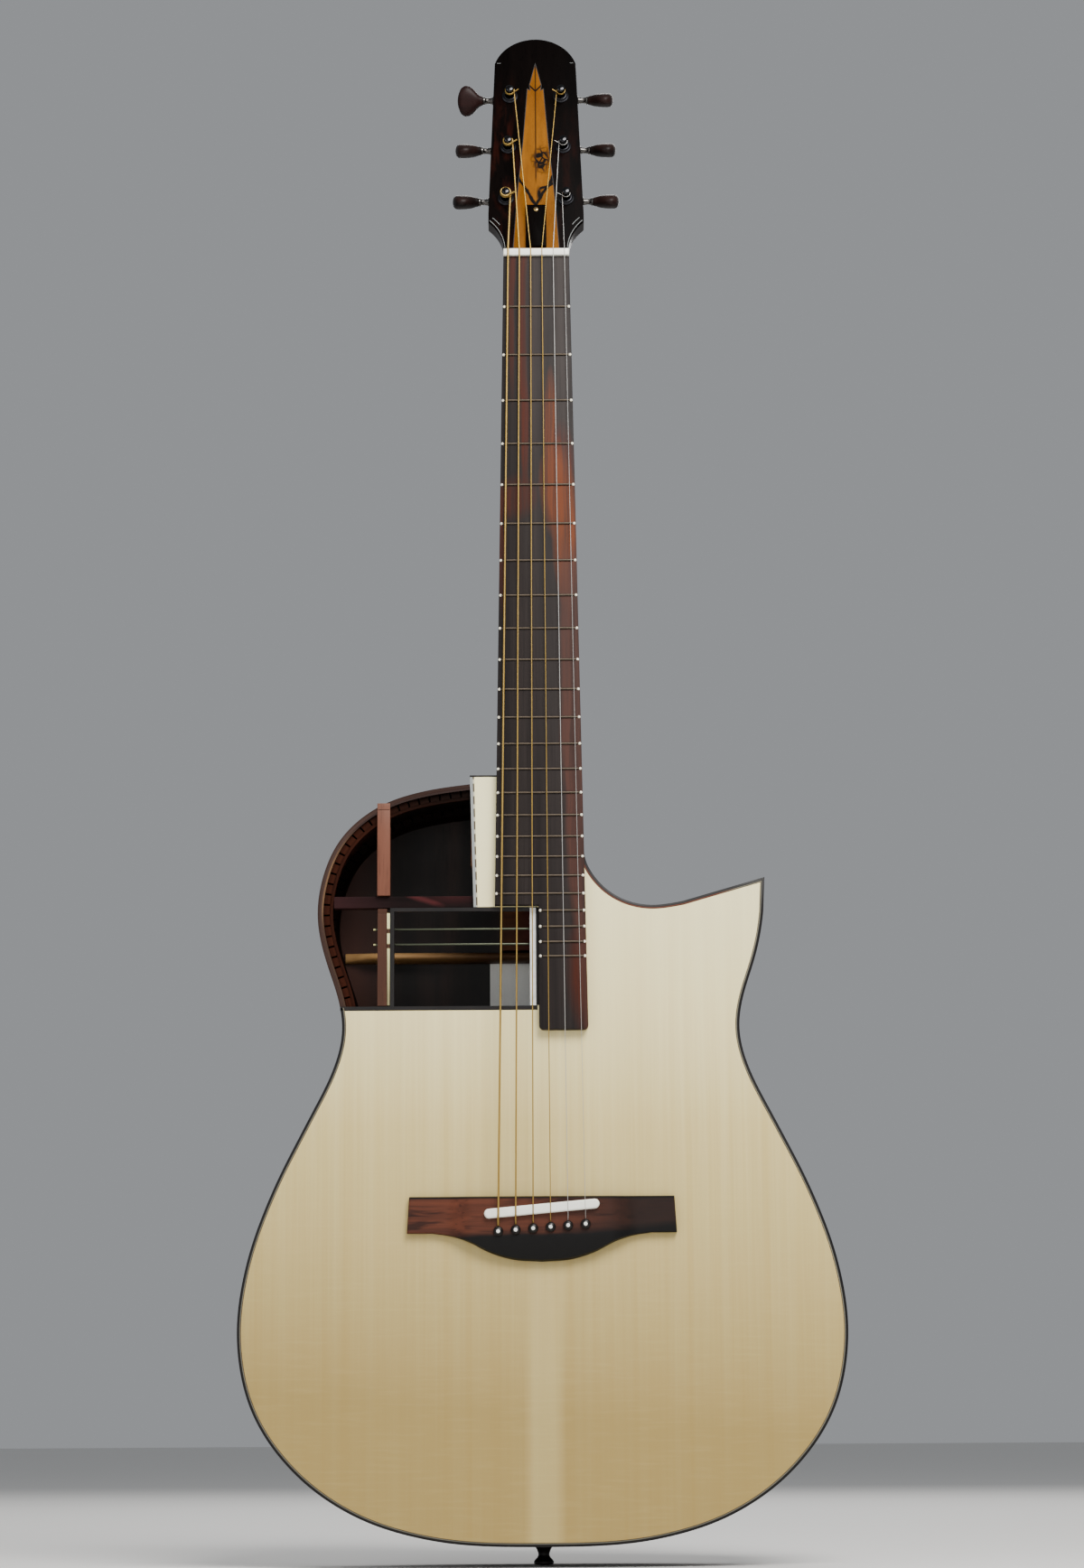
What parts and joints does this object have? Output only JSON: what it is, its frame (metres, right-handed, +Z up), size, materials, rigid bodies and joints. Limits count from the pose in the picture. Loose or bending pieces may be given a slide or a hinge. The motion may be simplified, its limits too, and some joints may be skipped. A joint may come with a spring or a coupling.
{
  "type": "cutaway acoustic guitar",
  "caption": "Steel-string acoustic guitar with a sharp cutaway and an open latticed bass shoulder, a pale spruce top, a slanted saddle and turning machine heads.",
  "frame": {"origin": "on the centre line at the nut's fretboard edge, in the plane of the soundboard's face, where a wall hanger holds the neck under the headstock", "axes": "+Z up the neck, towards the headstock; the soundboard faces -Y; +X is the treble side, with the cutaway"},
  "size_m": [0.4024, 0.1156, 1.0638],
  "materials": {
    "spruce": "pale clear satin",
    "rosewood": "dark brown, oiled",
    "red_rosewood": "red brown, satin",
    "mahogany": "brown, satin",
    "lining_wood": "brown, plain",
    "ebony": "near black, polished",
    "spalted_maple": "orange brown with black lines, polished",
    "bone": "white, polished",
    "pearl": "grey white with a pearl shimmer",
    "steel": "satin steel",
    "brass": "polished brass",
    "bronze_winding": "bronze-wound string"
  },
  "bodies": {
    "guitar": {"soundboard": "spruce", "back_plate": "rosewood", "bass_side": "rosewood", "treble_side": "rosewood", "cutaway_side": "rosewood", "top_lining": "lining_wood", "back_lining": "lining_wood", "neck_block": "mahogany", "tail_block": "mahogany", "soundboard_braces": "spruce", "back_braces": "spruce", "cross_bar": "rosewood", "upper_bar": "red_rosewood", "lower_bar": "red_rosewood", "ebony_frame": "ebony", "rod_upper": "brass", "rod_lower": "brass", "pearl_bar": "pearl", "neck": "mahogany", "headplate": "rosewood", "headstock_inlay": "spalted_maple", "fretboard": "ebony", "nut": "bone", "saddle": "bone", "bridge": "red_rosewood", "truss_rod": "steel", "truss_rod_cover": "ebony", "cover_screw": "brass", "end_pin": "ebony", "string_1": "bronze_winding", "string_2": "bronze_winding", "string_3": "bronze_winding", "string_4": "bronze_winding", "string_5": "steel", "string_6": "steel", "bridge_pin_1": "ebony", "bridge_pin_2": "ebony", "bridge_pin_3": "ebony", "bridge_pin_4": "ebony", "bridge_pin_5": "ebony", "bridge_pin_6": "ebony", "tuner_housing_1": "steel", "tuner_housing_2": "steel", "tuner_housing_3": "steel", "tuner_housing_4": "steel", "tuner_housing_5": "steel", "tuner_housing_6": "steel"},
    "knob_1": {"tuner_knob_1": "ebony"},
    "post_1": {"tuner_post_1": "steel"},
    "knob_2": {"tuner_knob_2": "ebony"},
    "post_2": {"tuner_post_2": "steel"},
    "knob_3": {"tuner_knob_3": "ebony"},
    "post_3": {"tuner_post_3": "steel"},
    "knob_4": {"tuner_knob_4": "ebony"},
    "post_4": {"tuner_post_4": "steel"},
    "knob_5": {"tuner_knob_5": "ebony"},
    "post_5": {"tuner_post_5": "steel"},
    "knob_6": {"tuner_knob_6": "ebony"},
    "post_6": {"tuner_post_6": "steel"},
    "truss_nut": {"truss_rod_nut": "brass"}
  },
  "joints": [
    {"name": "knob_1_turn", "type": "hinge", "parent": "guitar", "child": "knob_1", "pos_m": [-0.021, 0.03111, 0.05227], "axis": [1, 0, 0], "continuous": true},
    {"name": "post_1_turn", "type": "hinge", "parent": "guitar", "child": "post_1", "pos_m": [-0.021, 0.01021, 0.04615], "axis": [0, -0.9703, 0.2419], "continuous": true},
    {"name": "knob_2_turn", "type": "hinge", "parent": "guitar", "child": "knob_2", "pos_m": [-0.0193, 0.04149, 0.0939], "axis": [1, 0, 0], "continuous": true},
    {"name": "post_2_turn", "type": "hinge", "parent": "guitar", "child": "post_2", "pos_m": [-0.0193, 0.02059, 0.08777], "axis": [0, -0.9703, 0.2419], "continuous": true},
    {"name": "knob_3_turn", "type": "hinge", "parent": "guitar", "child": "knob_3", "pos_m": [-0.018, 0.05177, 0.13514], "axis": [1, 0, 0], "continuous": true},
    {"name": "post_3_turn", "type": "hinge", "parent": "guitar", "child": "post_3", "pos_m": [-0.018, 0.03087, 0.12901], "axis": [0, -0.9703, 0.2419], "continuous": true},
    {"name": "knob_4_turn", "type": "hinge", "parent": "guitar", "child": "knob_4", "pos_m": [0.018, 0.05177, 0.13514], "axis": [1, 0, 0], "continuous": true},
    {"name": "post_4_turn", "type": "hinge", "parent": "guitar", "child": "post_4", "pos_m": [0.018, 0.03087, 0.12901], "axis": [0, -0.9703, 0.2419], "continuous": true},
    {"name": "knob_5_turn", "type": "hinge", "parent": "guitar", "child": "knob_5", "pos_m": [0.0193, 0.04149, 0.0939], "axis": [1, 0, 0], "continuous": true},
    {"name": "post_5_turn", "type": "hinge", "parent": "guitar", "child": "post_5", "pos_m": [0.0193, 0.02059, 0.08777], "axis": [0, -0.9703, 0.2419], "continuous": true},
    {"name": "knob_6_turn", "type": "hinge", "parent": "guitar", "child": "knob_6", "pos_m": [0.021, 0.03111, 0.05227], "axis": [1, 0, 0], "continuous": true},
    {"name": "post_6_turn", "type": "hinge", "parent": "guitar", "child": "post_6", "pos_m": [0.021, 0.01021, 0.04615], "axis": [0, -0.9703, 0.2419], "continuous": true},
    {"name": "truss_nut_turn", "type": "hinge", "parent": "guitar", "child": "truss_nut", "pos_m": [0, 0.0064, 0.0126], "axis": [0, 0, 1], "range_deg": [-360, 360]}
  ],
  "couplings": [
    {"joint": "post_1_turn", "follows": "knob_1_turn", "ratio": -0.0625},
    {"joint": "post_2_turn", "follows": "knob_2_turn", "ratio": -0.0625},
    {"joint": "post_3_turn", "follows": "knob_3_turn", "ratio": -0.0625},
    {"joint": "post_4_turn", "follows": "knob_4_turn", "ratio": 0.0625},
    {"joint": "post_5_turn", "follows": "knob_5_turn", "ratio": 0.0625},
    {"joint": "post_6_turn", "follows": "knob_6_turn", "ratio": 0.0625}
  ]
}
